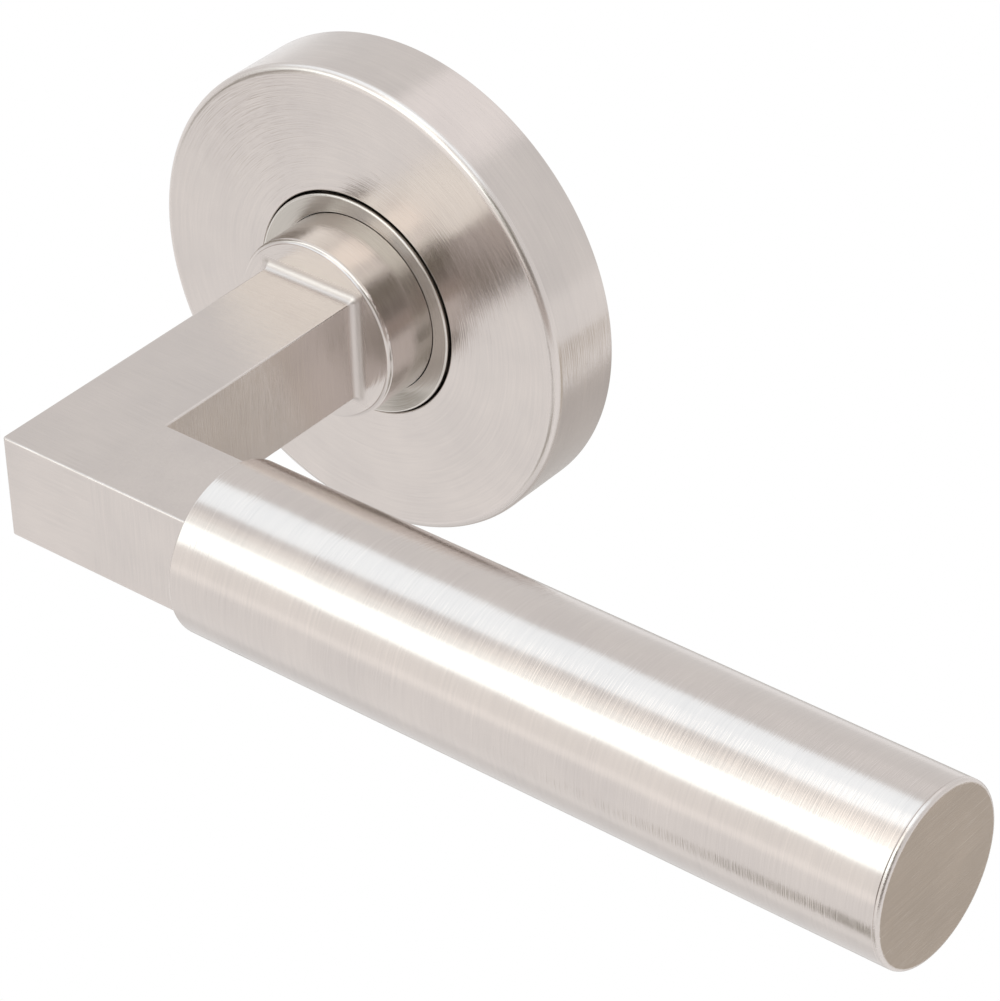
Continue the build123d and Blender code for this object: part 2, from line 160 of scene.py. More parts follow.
class ShaderTree:
    """The nodes of one material or of the world."""

    def __init__(self, owner: bpy.types.Material | bpy.types.World) -> None:
        """Clear the owner's nodes and take them over.

        Args:
            owner: The material or the world.
        """
        owner.use_nodes = True
        self.nodes = owner.node_tree.nodes
        self.links = owner.node_tree.links
        self.nodes.clear()

    def node(
        self,
        kind: str,
        settings: dict[str, object] | None = None,
        sockets: "dict[int | str, Term | float | tuple] | None" = None,
        output: int | str = 0,
    ) -> Term:
        """Add one node: its settings first, then its sockets.

        Args:
            kind: The node's type.
            settings: Its own settings, by name.
            sockets: Values or links of its inputs, by place, name or identifier.
            output: Which output is wanted.

        Returns:
            That output, or the node's first input where it has no output.
        """
        node = self.nodes.new(kind)
        for name, value in (settings or {}).items():
            setattr(node, name, value)
        for key, value in (sockets or {}).items():
            socket = self.find(node.inputs, key)
            if isinstance(value, Term):
                self.links.new(value.socket, socket)
            elif isinstance(value, tuple) and socket.type == "RGBA":
                socket.default_value = (*value[:3], 1.0)
            else:
                socket.default_value = value
        ends = node.outputs if len(node.outputs) else node.inputs
        return Term(self, self.find(ends, output))

    @staticmethod
    def find(sockets: bpy.types.bpy_prop_collection, key: int | str) -> bpy.types.NodeSocket:
        """The socket at a place, or with a name or an identifier."""
        if isinstance(key, int):
            return sockets[key]
        return next((s for s in sockets if s.identifier == key), None) or sockets[key]

    def mix(self, share: "Term | float", first: "Term | tuple", second: "Term | tuple") -> Term:
        """Mix two colours.

        Args:
            share: How much of the second colour there is.
            first: The first colour.
            second: The second colour.

        Returns:
            The mixed colour.
        """
        return self.node(
            "ShaderNodeMix",
            {"data_type": "RGBA"},
            {"Factor_Float": share, "A_Color": first, "B_Color": second},
            "Result_Color",
        )

    def vector(self, x: "Term | float", y: "Term | float", z: "Term | float") -> Term:
        """Three numbers as one vector."""
        return self.node("ShaderNodeCombineXYZ", {}, {0: x, 1: y, 2: z})

    def noise(
        self, where: Term, detail: float = 2.0, fourth: Term | None = None, seed: float = 0.0
    ) -> Term:
        """Smooth random bumps, one unit apart, about a middle of 0.

        Args:
            where: The vector that they are laid out in.
            detail: How many finer layers are added.
            fourth: A fourth coordinate.
            seed: Where in the pattern the piece lies.

        Returns:
            A term from about -0.5 to 0.5.
        """
        last = seed if fourth is None else fourth + seed
        bumps = self.node(
            "ShaderNodeTexNoise",
            {"noise_dimensions": "4D"},
            {"Vector": where, "W": last, "Scale": 1.0, "Detail": detail, "Roughness": 0.55},
        )
        return bumps - 0.5

    def finish(
        self,
        material: bpy.types.Material,
        tone: Term,
        metallic: float,
        roughness: Term,
        depth: float,
        height: Term,
    ) -> bpy.types.Material:
        """End a material in its bump, its shader and its output.

        Args:
            material: The material that this tree belongs to.
            tone: Its colour.
            metallic: 1 for a metal, 0 for anything else.
            roughness: Its roughness.
            depth: How far a height of 1 stands out, in millimetres.
            height: The height that gives its bump.

        Returns:
            The material.
        """
        bump = self.node(
            "ShaderNodeBump",
            {},
            {"Strength": 1.0, "Distance": depth * MM, "Height": height},
            "Normal",
        )
        surface = self.node(
            "ShaderNodeBsdfPrincipled",
            {},
            {"Base Color": tone, "Metallic": metallic, "Roughness": roughness, "Normal": bump},
            "BSDF",
        )
        self.node("ShaderNodeOutputMaterial", {}, {"Surface": surface})
        return material


@dataclass
class Place:
    """Where a shaded point lies on the object, in millimetres."""

    tree: ShaderTree
    x: Term = field(init=False)
    y: Term = field(init=False)
    z: Term = field(init=False)

    def __post_init__(self) -> None:
        """Read the object coordinates once."""
        here = self.tree.node("ShaderNodeTexCoord", {}, {}, "Object")
        scaled = self.tree.node(
            "ShaderNodeVectorMath", {"operation": "SCALE"}, {0: here, "Scale": 1.0 / MM}
        )
        self.x = self.tree.node("ShaderNodeSeparateXYZ", {}, {0: scaled})
        self.y = self.x.other("Y")
        self.z = self.x.other("Z")

    def from_spindle(self) -> Term:
        """The distance from the spindle's axis."""
        return (self.x * self.x + self.z * self.z).root()

    def clouds(self, size: float, detail: float, seed: float) -> Term:
        """Smooth random patches.

        Args:
            size: How far apart they lie, in millimetres.
            detail: How many finer layers are added.
            seed: Where in the pattern the piece lies.

        Returns:
            A term from about -0.5 to 0.5.
        """
        share = 1.0 / size
        where = self.tree.vector(self.x * share, self.y * share, self.z * share)
        return self.tree.noise(where, detail, None, seed)

    def attribute(self, name: str) -> Term:
        """A number stored on the piece's own points."""
        return self.tree.node("ShaderNodeAttribute", {"attribute_name": name}, {}, "Fac")


def fade(value: Term, face: float, offsets: Span) -> Term:
    """A smooth step of a value about a face: 0 at the first offset from it, 1 at the second."""
    return value.ramp(face + offsets[0], face + offsets[1])


def weighted(patterns: Sequence[Term], weights: Sequence[float]) -> Term:
    """The patterns added up, each times its own weight."""
    return reduce(Term.__add__, [term * weight for term, weight in zip(patterns, weights)])


# ---------------------------------------------------------------- finishes


class Brushing(Enum):
    """Which way a satin piece was brushed."""

    ROUND_SPINDLE = "turned about the spindle"
    ROUND_GRIP = "turned about the grip"
    ALONG_LEVER = "drawn along the lever"
    ALONG_DEPTH = "drawn from front to back"
    UPRIGHT = "drawn up and down"


@dataclass(frozen=True)
class Brush:
    """The scratches that one brushing leaves, in millimetres."""

    width: float = 0.17
    length: float = 7.0
    detail: float = 2.0

    def scratches(self, place: Place, way: Brushing, seed: float = 0.0) -> Term:
        """Lines much longer than they are wide.

        The noise's own coordinates are the distances across the lines, divided by the lines'
        width, and the distance along them, divided by their length.

        Args:
            place: The shaded point.
            way: The brushing.
            seed: Where in the pattern the piece lies.

        Returns:
            A height from about -0.5 to 0.5.
        """
        tree, across, along = place.tree, 1.0 / self.width, 1.0 / self.length
        x, y, z = place.x, place.y, place.z
        if way is Brushing.ROUND_SPINDLE:
            radius = place.from_spindle()
            where = tree.vector(radius * across, x * along, z * along)
            return tree.noise(where, self.detail, y * across, seed)
        step_x, step_y, step_z = {
            Brushing.ROUND_GRIP: (across, along, along),
            Brushing.ALONG_LEVER: (along, across, across),
            Brushing.ALONG_DEPTH: (across, along, across),
            Brushing.UPRIGHT: (across, across, along),
        }[way]
        where = tree.vector(x * step_x, y * step_y, z * step_z)
        return tree.noise(where, self.detail, None, seed)


@dataclass(frozen=True)
class SatinSteel:
    """Brushed stainless steel, a touch warm.

    The weights are those of the coarse scratches, the fine scratches and the clouds. A break is
    how far scratches or clouds break up the wear or the stains.
    """

    colour: Colour = (0.640, 0.585, 0.555)
    darkest_share: Colour = (0.90, 0.905, 0.915)
    lightest_share: Colour = (1.10, 1.095, 1.085)
    tone_weights: Weights = (0.16, 0.45, 0.60)
    worn_colour: Colour = (0.68, 0.625, 0.595)
    wear: float = 0.75
    wear_break: float = 1.2
    wear_range: Span = (0.15, 0.9)
    roughness: float = 0.17
    worn_roughness: float = 0.27
    roughness_weights: Weights = (0.04, 0.05, 0.05)
    scratch_height: float = 0.022
    coarse_height_share: float = 0.12
    wave_height: float = 0.10
    wave_size: float = 11.0
    fine: Brush = Brush(width=0.14, length=6.0)
    coarse: Brush = Brush(width=0.55, length=24.0, detail=1.0)
    cloud_size: float = 9.0

    def make(
        self, name: str, way: Brushing, arm: "ArmShape | None" = None, seed: float = 0.0
    ) -> bpy.types.Material:
        """Make the finish for one piece.

        Args:
            name: The material's name.
            way: How the piece was brushed.
            arm: The arm's sizes, for the arm alone, whose brushing follows them.
            seed: Where in the patterns the piece lies.

        Returns:
            The material.
        """
        material = bpy.data.materials.new(name)
        tree = ShaderTree(material)
        place = Place(tree)
        if arm is None:
            fine = self.fine.scratches(place, way, seed)
            coarse = self.coarse.scratches(place, way, seed + COARSE_SEED)
            edge, blasted = place.attribute("edge"), 0.0
        else:
            fine = arm.scratches(place, self.fine, seed)
            coarse = arm.scratches(place, self.coarse, seed + COARSE_SEED)
            edge, blasted = arm.edges(place), arm.weld_root(place)
        cloud = place.clouds(self.cloud_size, detail=2.0, seed=seed + CLOUD_SEED)
        wave = place.clouds(self.wave_size, detail=0.0, seed=seed + WAVE_SEED)
        patterns = (coarse, fine, cloud)
        shade = weighted(patterns, self.tone_weights) + 0.5
        darkest, lightest = (
            tuple(c * k for c, k in zip(self.colour, share))
            for share in (self.darkest_share, self.lightest_share)
        )
        tone = tree.mix(shade.ramp(0.0, 1.0), darkest, lightest)
        wear = (edge * (self.wear + coarse * self.wear_break)).ramp(*self.wear_range)
        tone = tree.mix(wear, tone, self.worn_colour)
        rough = self.roughness + weighted(patterns, self.roughness_weights)
        rough = rough + wear * (self.worn_roughness - self.roughness) + blasted
        height = fine + coarse * self.coarse_height_share
        height = height + wave * (self.wave_height / self.scratch_height)
        return tree.finish(material, tone, 1.0, rough, self.scratch_height, height)


@dataclass(frozen=True)
class RoundEdges:
    """The edges of a piece that is round about the spindle, in millimetres."""

    radii: tuple[float, ...]
    depths: tuple[float, ...]
    reach: float = 0.45

    def nearest(self, value: Term, stops: tuple[float, ...]) -> Term:
        """How near a value is to the nearest of some stops, from 0 to 1."""
        return reduce(Term.largest, [abs(value - stop).ramp(self.reach, 0.0) for stop in stops])

    def mask(self, place: Place) -> Term:
        """How much a point lies on one of the edges."""
        depth = self.nearest(0.0 - place.y, self.depths)
        return self.nearest(place.from_spindle(), self.radii) * depth


@dataclass(frozen=True)
class SquareEdges:
    """The long edges and the end edges of a square bar on the spindle's axis, in millimetres."""

    half: float
    ends: Span
    reach: float = 0.45
    end_fade: Span = (1.2, 0.5)

    def mask(self, place: Place) -> Term:
        """How much a point lies on one of the edges.

        Args:
            place: The shaded point.

        Returns:
            A term from 0 to 1.
        """
        side = abs(place.x).ramp(self.half - self.reach, self.half)
        face = abs(place.z).ramp(self.half - self.reach, self.half)
        depth = 0.0 - place.y
        (back, front), (start, full) = self.ends, self.end_fade
        end = depth.ramp(back + start, back + full)
        end = end.largest(depth.ramp(front - start, front - full))
        return (side * face).largest(side.largest(face) * end)


@dataclass(frozen=True)
class HoleShadeAndFilm:
    """The painted shade and dull film around holes that lie evenly about the spindle, in
    millimetres.

    A hole is given by x, z and radius, and stands for its mirror images too.
    """

    holes: tuple[tuple[float, float, float], ...]
    spread: float = 2.6

    def mask(self, place: Place) -> Term:
        """How near a point is to one of the holes.

        Args:
            place: The shaded point.

        Returns:
            A term from 0 to 1.
        """
        near: list[Term] = []
        for x, z, radius in self.holes:
            off, up = abs(place.x) - x, abs(place.z) - z
            near.append((off * off + up * up).root().ramp(radius + self.spread, radius))
        return reduce(Term.largest, near)


@dataclass(frozen=True)
class HardFinish:
    """A plated, blackened or bare metal, nylon or rubber that doesn't show in normal use.

    The weights are those of the clouds, the marks and the pits; wear has no weight for marks.
    """

    colour: Colour
    second_colour: Colour
    roughness: float
    metallic: float = 1.0
    cloud_size: float = 5.0
    pit_size: float = 0.35
    pit_height: float = 0.012
    mark: Brush = Brush(width=0.25, length=5.0, detail=1.0)
    mark_share: float = 0.6
    tone_weights: Weights = (1.3, 0.6, 0.25)
    roughness_weights: Weights = (0.22, 0.10, 0.12)
    worn_colour: Colour = (0.80, 0.78, 0.74)
    wear: float = 0.8
    wear_weights: Weights = (1.2, 0.6)
    wear_range: Span = (0.15, 0.85)
    # Painted shade near holes and posts: the darker colour is painted shade, the added roughness a
    # dull film.
    painted_shade_colour: Colour = (0.20, 0.19, 0.17)
    shade_and_film_strength: float = 0.55
    shade_and_film_break: float = 1.5
    film_roughness: float = 0.2

    def make(
        self,
        name: str,
        way: Brushing,
        seed: float = 0.0,
        worn: Callable[[Place], Term] | None = None,
        shade_and_film: Callable[[Place], Term] | None = None,
    ) -> bpy.types.Material:
        """Make the finish for one piece.

        Args:
            name: The material's name.
            way: How the piece was drawn, rolled or turned before it was finished.
            seed: Where in the patterns the piece lies.
            worn: Gives how far a point's finish is rubbed off, besides the piece's own edges.
            shade_and_film: Gives how much painted shade darkens a point and how much a dull film
                roughens it.

        Returns:
            The material.
        """
        material = bpy.data.materials.new(name)
        tree = ShaderTree(material)
        place = Place(tree)
        cloud = place.clouds(self.cloud_size, detail=3.0, seed=seed)
        pits = place.clouds(self.pit_size, detail=2.0, seed=seed + PIT_SEED)
        marks = self.mark.scratches(place, way, seed + MARK_SEED)
        patterns = (cloud, marks, pits)
        blend = (weighted(patterns, self.tone_weights) + 0.5).ramp(0.0, 1.0)
        tone = tree.mix(blend, self.colour, self.second_colour)
        rough = self.roughness + weighted(patterns, self.roughness_weights)
        # Painted shade darkens the colour near the holes; the roughness added with it is a dull
        # film.
        if shade_and_film is not None:
            shade_and_film_share = shade_and_film(place) * (self.shade_and_film_strength + cloud * self.shade_and_film_break)
            tone = tree.mix(shade_and_film_share, tone, self.painted_shade_colour)
            rough = rough + shade_and_film_share * self.film_roughness
        edge = place.attribute("edge")
        if worn is not None:
            edge = edge.largest(worn(place))
        wear = edge * (self.wear + weighted((cloud, pits), self.wear_weights))
        wear = wear.ramp(*self.wear_range)
        tone = tree.mix(wear, tone, self.worn_colour)
        height = pits + marks * self.mark_share
        return tree.finish(material, tone, self.metallic, rough, self.pit_height, height)


ZINC_PLATE = HardFinish(
    (0.40, 0.43, 0.46),
    (0.60, 0.59, 0.53),
    0.34,
    cloud_size=8.0,
    mark=Brush(width=0.30, length=14.0, detail=2.0),
    mark_share=1.0,
)
SPRING_STEEL = HardFinish(
    (0.17, 0.165, 0.16), (0.30, 0.28, 0.26), 0.32, pit_height=0.008, worn_colour=(0.55, 0.53, 0.50)
)
SCREW_STEEL = HardFinish((0.50, 0.52, 0.54), (0.68, 0.67, 0.62), 0.26, pit_height=0.006)
BLACK_OXIDE = HardFinish(
    (0.020, 0.021, 0.024), (0.050, 0.048, 0.046), 0.38, worn_colour=(0.35, 0.34, 0.33)
)
NYLON = HardFinish(
    (0.62, 0.61, 0.56),
    (0.74, 0.73, 0.69),
    0.42,
    metallic=0.0,
    mark_share=0.3,
    worn_colour=(0.80, 0.80, 0.78),
)
RING_RUBBER = HardFinish(
    (0.012, 0.012, 0.013),
    (0.034, 0.033, 0.032),
    0.58,
    metallic=0.0,
    mark_share=0.2,
    worn_colour=(0.05, 0.05, 0.05),
)


# ---------------------------------------------------------------- turned shapes


@dataclass(frozen=True)
class Corner:
    """A corner of a turned piece's outline: along its axis, out from it, and its rounding."""

    along: float
    out: float
    rounding: float = 0.0


@dataclass(frozen=True)
class Turned:
    """A piece turned on a lathe, from the outline of one side of its section."""

    corners: tuple[Corner, ...]
    axis: Brushing
    centre: Point = (0.0, 0.0, 0.0)
    closed: bool = True
    steps: int = 360
    arc_steps: int = 9
    hold: float = 0.035
    least_rounding: float = 0.012

    def outline(self) -> np.ndarray:
        """The outline's points and how much each one lies on a rounded edge.

        Each rounded corner becomes an arc that meets both of its straight neighbours, with one
        more point on each of them a hair away, so that shading turns on the arc alone.

        Returns:
            Rows of (along, out, edge).
        """
        rows: list[np.ndarray] = []
        count = len(self.corners)
        for index, corner in enumerate(self.corners):
            here = np.array((corner.along, corner.out))
            if not self.closed and index in (0, count - 1):
                rows.append(np.array([[*here, 0.0]]))
                continue
            before = self.corners[index - 1]
            after = self.corners[(index + 1) % count]
            to_before = np.array((before.along, before.out)) - here
            to_after = np.array((after.along, after.out)) - here
            to_before /= np.linalg.norm(to_before)
            to_after /= np.linalg.norm(to_after)
            half = math.acos(float(np.clip(to_before @ to_after, -1.0, 1.0))) / 2
            radius = max(corner.rounding, self.least_rounding)
            reach = radius / math.tan(half)
            middle = here + (to_before + to_after) / np.linalg.norm(
                to_before + to_after
            ) * radius / math.sin(half)
            start = here + to_before * reach - middle
            end = here + to_after * reach - middle
            share = np.linspace(0.0, 1.0, self.arc_steps)[:, None]
            sweep = math.pi - 2 * half
            arc = (np.sin((1 - share) * sweep) * start + np.sin(share * sweep) * end) / math.sin(
                sweep
            )
            worn = 1.0 if corner.rounding else 0.0
            held = min(self.hold, radius)
            first = here + to_before * (reach + held)
            last = here + to_after * (reach + held)
            body = np.c_[middle + arc, np.full(self.arc_steps, worn)]
            rows += [np.array([[*first, 0.0]]), body, np.array([[*last, 0.0]])]
        return np.concatenate(rows)

    def grid(self) -> tuple[np.ndarray, np.ndarray, np.ndarray]:
        """The surface swept by the outline turning about its axis.

        A point of the surface is the axis point at its distance along, plus its distance out
        times (cosine, sine) of the turn.

        Returns:
            Points in metres, faces as rows of four point numbers, and each point's edge value.
        """
        line = self.outline()
        turn = np.linspace(0.0, 2 * math.pi, self.steps, endpoint=False)
        along = np.repeat(line[:, 0], self.steps)
        out = line[:, 1:2] - self.cut(line, turn)
        out_cos = (out * np.cos(turn)).ravel()
        out_sin = (out * np.sin(turn)).ravel()
        if self.axis is Brushing.ROUND_SPINDLE:
            points = np.c_[out_cos, -along, out_sin]
        else:
            points = np.c_[along, out_cos, out_sin]
        points = (points + np.array(self.centre)) * MM
        number = np.arange(len(line) * self.steps).reshape(len(line), self.steps)
        if self.closed:
            number = np.vstack([number, number[:1]])
        number = np.hstack([number, number[:, :1]])
        faces = np.stack(
            [number[:-1, :-1], number[1:, :-1], number[1:, 1:], number[:-1, 1:]], axis=-1
        ).reshape(-1, 4)
        return points, faces, np.repeat(line[:, 2], self.steps)

    def cut(self, line: np.ndarray, turn: np.ndarray) -> np.ndarray:
        """How deep the surface is cut at each row and each turn: nowhere, on a plain piece."""
        return np.zeros((len(line), len(turn)))


@dataclass(frozen=True)
class Threaded(Turned):
    """A turned piece with a screw thread on its longest outside run."""

    thread_radius: float = 4.0
    pitch: float = 1.25
    thread_depth: float = 0.62
    thread_wear: float = 0.35
    slack: float = 0.01
    rows_per_turn: int = 12

    def outline(self) -> np.ndarray:
        """The plain outline with more rows along the threaded run.

        Returns:
            Rows of (along, out, edge).
        """
        line = super().outline()
        outside = np.minimum(line[:-1, 1], line[1:, 1]) > self.thread_radius - self.slack
        at = int(np.argmax(np.abs(np.diff(line[:, 0])) * outside))
        length = float(abs(line[at + 1, 0] - line[at, 0]))
        count = int(length / self.pitch * self.rows_per_turn)
        rows = np.linspace(line[at], line[at + 1], count + 2)[1:-1]
        rows[:, 2] = self.thread_wear
        return np.insert(line, at + 1, rows, axis=0)

    def cut(self, line: np.ndarray, turn: np.ndarray) -> np.ndarray:
        """The thread's groove.

        Its depth is a triangle wave of the distance along in pitches less the turn's share of a
        full one, so that it climbs by a pitch in each turn, and it fades out over the first and
        last pitch.

        Args:
            line: The outline's rows.
            turn: The turns, in radians.

        Returns:
            The cut's depth, a row for each row of the outline.
        """
        along = line[:, :1]
        rows = (along <= 0.0) & (line[:, 1:2] > self.thread_radius - self.slack)
        low, high = along[rows].min(), along[rows].max()
        groove = np.abs(2 * ((along / self.pitch - turn / (2 * math.pi)) % 1.0) - 1.0)
        fade = np.clip(np.minimum(along - low, high - along) / self.pitch, 0.0, 1.0)
        return self.thread_depth * groove * fade * rows


def make_mesh(
    name: str, points: np.ndarray, faces: np.ndarray, edge: np.ndarray | None = None
) -> bpy.types.Object:
    """Put a grid into a mesh, merge its poles and turn its faces outwards.

    Args:
        name: The piece's name.
        points: Points in metres.
        faces: Rows of point numbers.
        edge: For each point, how much it lies on a rounded edge.

    Returns:
        The piece, linked into the scene.
    """
    mesh = bpy.data.meshes.new(name)
    mesh.from_pydata(points.tolist(), [], faces.tolist())
    if edge is not None:
        layer = mesh.attributes.new("edge", "FLOAT", "POINT")
        layer.data.foreach_set("value", edge.astype(np.float32))
    shell = bmesh.new()
    shell.from_mesh(mesh)
    bmesh.ops.remove_doubles(shell, verts=shell.verts, dist=MERGE)
    bmesh.ops.dissolve_degenerate(shell, edges=shell.edges, dist=COLLAPSE)
    if shell.calc_volume(signed=True) < 0:
        bmesh.ops.reverse_faces(shell, faces=shell.faces)
    shell.to_mesh(mesh)
    shell.free()
    mesh.shade_smooth()
    piece = bpy.data.objects.new(name, mesh)
    bpy.context.scene.collection.objects.link(piece)
    return piece


def join_grids(*grids: tuple[np.ndarray, np.ndarray, np.ndarray]) -> tuple[np.ndarray, ...]:
    """Put several grids together, their faces renumbered to follow their points.

    Args:
        grids: The points, faces and edge values of each.

    Returns:
        The points, faces and edge values of all.
    """
    starts = np.cumsum([0, *(len(grid[0]) for grid in grids[:-1])])
    points = np.concatenate([grid[0] for grid in grids])
    faces = np.concatenate([grid[1] + start for grid, start in zip(grids, starts)])
    return points, faces, np.concatenate([grid[2] for grid in grids])


def place_piece(
    piece: bpy.types.Object, material: bpy.types.Material, body: str, slot: str, *nodes: str
) -> None:
    """Dress a new piece and tie it to the frame.

    Args:
        piece: The piece.
        material: Its finish.
        body: The body that it moves with.
        slot: The record's material slot that it belongs to; not used.
        nodes: The nodes that it stands for.
    """
    piece.data.materials.append(material)
    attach(piece, body)
    if nodes:
        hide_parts(*nodes)
    log.info("%s: %d points, on %s", piece.name, len(piece.data.vertices), body)


def dress_node(node: str, material: bpy.types.Material) -> None:
    """Give one of the frame's own pieces its finish.

    Args:
        node: The piece's node.
        material: Its finish.
    """
    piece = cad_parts[node]
    for holder in piece.material_slots:
        holder.material = material
    log.info("%s: %s", node, material.name)


def box_mm(node: str) -> tuple[np.ndarray, np.ndarray]:
    """The lowest and highest corners of a node, in millimetres."""
    low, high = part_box(node)
    return np.array(low) / MM, np.array(high) / MM


# ---------------------------------------------------------------- sub-assemblies


@dataclass
class Rose:
    """The slide-on cover and the ring that stands in its hole."""

    wall: float = 1.5
    rim: float = 0.1
    edge: float = 1.1
    inner_edge: float = 0.4
    hole_radius: float = 15.55
    hole_edge: float = 0.25
    ring_inner: float = 12.58
    ring_skirt_inner: float = 14.82
    ring_back: float = 9.9
    ring_edge: float = 0.2
    ring_lip: float = 0.06
    ring_dish: float = 0.66
    finish: SatinSteel = SatinSteel()
    # Painted shade: the ring is darker than the cover so that it, and its reflection in the neck,
    # look shaded at the neck's foot.
    ring_finish_with_painted_shade: SatinSteel = SatinSteel(
        colour=(0.52, 0.485, 0.445), worn_colour=(0.70, 0.66, 0.62), roughness=0.22
    )

    def build(self) -> None:
        """Turn the cover and the ring."""
        low, high = box_mm("rose_cover")
        radius, front, back = high[0], -low[1], -high[1]
        cover = Turned(
            (
                Corner(back, radius - self.wall),
                Corner(back, radius, self.rim),
                Corner(front, radius, self.edge),
                Corner(front, self.hole_radius, self.hole_edge),
                Corner(front - self.wall, self.hole_radius),
                Corner(front - self.wall, radius - self.wall, self.inner_edge),
            ),
            Brushing.ROUND_SPINDLE,
        )
        place_piece(
            make_mesh("rose_cover_satin", *cover.grid()),
            self.finish.make("satin cover", Brushing.ROUND_SPINDLE),
            "rose_cover",
            "cover_steel",
            "rose_cover",
        )
        low, high = box_mm("collar_ring")
        radius, front, back = high[0], -low[1], -high[1]
        ring = Turned(
            (
                Corner(self.ring_back, self.ring_inner),
                Corner(self.ring_back, self.ring_skirt_inner),
                Corner(back, self.ring_skirt_inner),
                Corner(back, radius),
                Corner(front, radius, self.ring_edge),
                Corner(front - self.ring_dish, self.ring_inner, self.ring_lip),
            ),
            Brushing.ROUND_SPINDLE,
        )
        place_piece(
            make_mesh("collar_ring_satin", *ring.grid()),
            self.ring_finish_with_painted_shade.make("satin ring with painted shade", Brushing.ROUND_SPINDLE, seed=3.0),
            "rose_base",
            "cover_steel",
            "collar_ring",
        )


@dataclass
class ArmShape:
    """The neck, the square bar and its bend; a depth is measured out of the door.

    Each fade is two distances from a face: where a mask is still 0, and where it is 1.
    """

    half: float = 7.0
    neck_front: float = 19.2
    inner_bend: float = 53.0
    front: float = 67.0
    side_fade: Span = (-0.35, -0.1)
    neck_fade: Span = (0.8, -0.2)
    root_back_fade: Span = (-0.1, 0.05)
    root_front_fade: Span = (1.4, 1.0)
    root_side_fade: Span = (1.6, 1.1)
    root_roughness: float = 0.22
    edge_fade: Span = (-0.55, -0.12)
    edge_front_fade: Span = (-0.5, -0.1)
    edge_start_fade: Span = (0.0, 1.0)
    edge_bend_fade: Span = (0.0, -1.0)

    def scratches(self, place: Place, brush: Brush, seed: float) -> Term:
        """Brushing that runs round the neck, across the bar's sides and along its front and top.

        Args:
            place: The shaded point.
            brush: The scratches' size.
            seed: Where in the pattern the piece lies.

        Returns:
            A height from about -0.5 to 0.5.
        """
        round_neck = brush.scratches(place, Brushing.ROUND_SPINDLE, seed)
        upright = brush.scratches(place, Brushing.UPRIGHT, seed + 1.0)
        drawn = brush.scratches(place, Brushing.ALONG_LEVER, seed + 2.0)
        bar = drawn + (upright - drawn) * fade(abs(place.x), self.half, self.side_fade)
        return bar + (round_neck - bar) * fade(0.0 - place.y, self.neck_front, self.neck_fade)

    def weld_root(self, place: Place) -> Term:
        """How much rougher the fillet is where the bar stands on the neck.

        Args:
            place: The shaded point.

        Returns:
            What is added to the roughness.
        """
        depth = 0.0 - place.y
        out = abs(place.x).largest(abs(place.z))
        back = fade(depth, self.neck_front, self.root_back_fade)
        front = fade(depth, self.neck_front, self.root_front_fade)
        return back * front * fade(out, self.half, self.root_side_fade) * self.root_roughness

    def edges(self, place: Place) -> Term:
        """How much a point lies on one of the bar's long edges.

        Args:
            place: The shaded point.

        Returns:
            A term from 0 to 1.
        """
        depth = 0.0 - place.y
        high = fade(abs(place.z), self.half, self.edge_fade)
        side = fade(abs(place.x), self.half, self.edge_fade)
        side = side * fade(depth, self.inner_bend, self.edge_bend_fade)
        front = fade(depth, self.front, self.edge_front_fade)
        return high * side.largest(front) * fade(depth, self.neck_front, self.edge_start_fade)


@dataclass
class Lever:
    """The arm, the round grip and what closes its ends."""

    bore: float = 10.0
    bore_edge: float = 0.06
    rim_edge: float = 0.25
    seam: float = 0.07
    seam_edge: float = 0.02
    spigot_gap: float = 0.02
    spigot_edge: float = 0.3
    cap_edge: float = 0.5
    arm: ArmShape = field(default_factory=ArmShape)
    finish: SatinSteel = SatinSteel()

    def build(self) -> None:
        """Dress the arm and the plug, and turn the grip's tube and cap."""
        arm_finish = self.finish.make("satin arm", Brushing.UPRIGHT, self.arm, seed=7.0)
        dress_node("lever_arm", arm_finish)
        dress_node("grip_plug", self.finish.make("satin plug", Brushing.UPRIGHT, seed=11.0))
        low, high = box_mm("grip_tube")
        start, end, radius = low[0], high[0], high[2]
        centre = (0.0, float(low[1] + high[1]) / 2, 0.0)
        tube = Turned(
            (
                Corner(start, self.bore, self.bore_edge),
                Corner(start, radius, self.rim_edge),
                Corner(end - self.seam, radius, self.seam_edge),
                Corner(end, radius - self.seam),
                Corner(end, self.bore),
            ),
            Brushing.ROUND_GRIP,
            centre,
            steps=400,
        )
        place_piece(
            make_mesh("grip_tube_satin", *tube.grid()),
            self.finish.make("satin grip", Brushing.ROUND_GRIP, seed=13.0),
            "lever",
            "grip_steel",
            "grip_tube",
        )
        low, high = box_mm("grip_end_cap")
        spigot, front = low[0], high[0]
        spigot_radius = self.bore - self.spigot_gap
        cap = Turned(
            (
                Corner(spigot, 0.0),
                Corner(spigot, spigot_radius, self.spigot_edge),
                Corner(end, spigot_radius),
                Corner(end, radius - self.seam),
                Corner(end + self.seam, radius, self.seam_edge),
                Corner(front, radius, self.cap_edge),
                Corner(front, 0.0),
            ),
            Brushing.ROUND_GRIP,
            centre,
            closed=False,
            steps=400,
        )
        place_piece(
            make_mesh("grip_end_cap_satin", *cap.grid()),
            self.finish.make("satin cap", Brushing.ALONG_DEPTH, seed=17.0),
            "lever",
            "grip_steel",
            "grip_end_cap",
        )


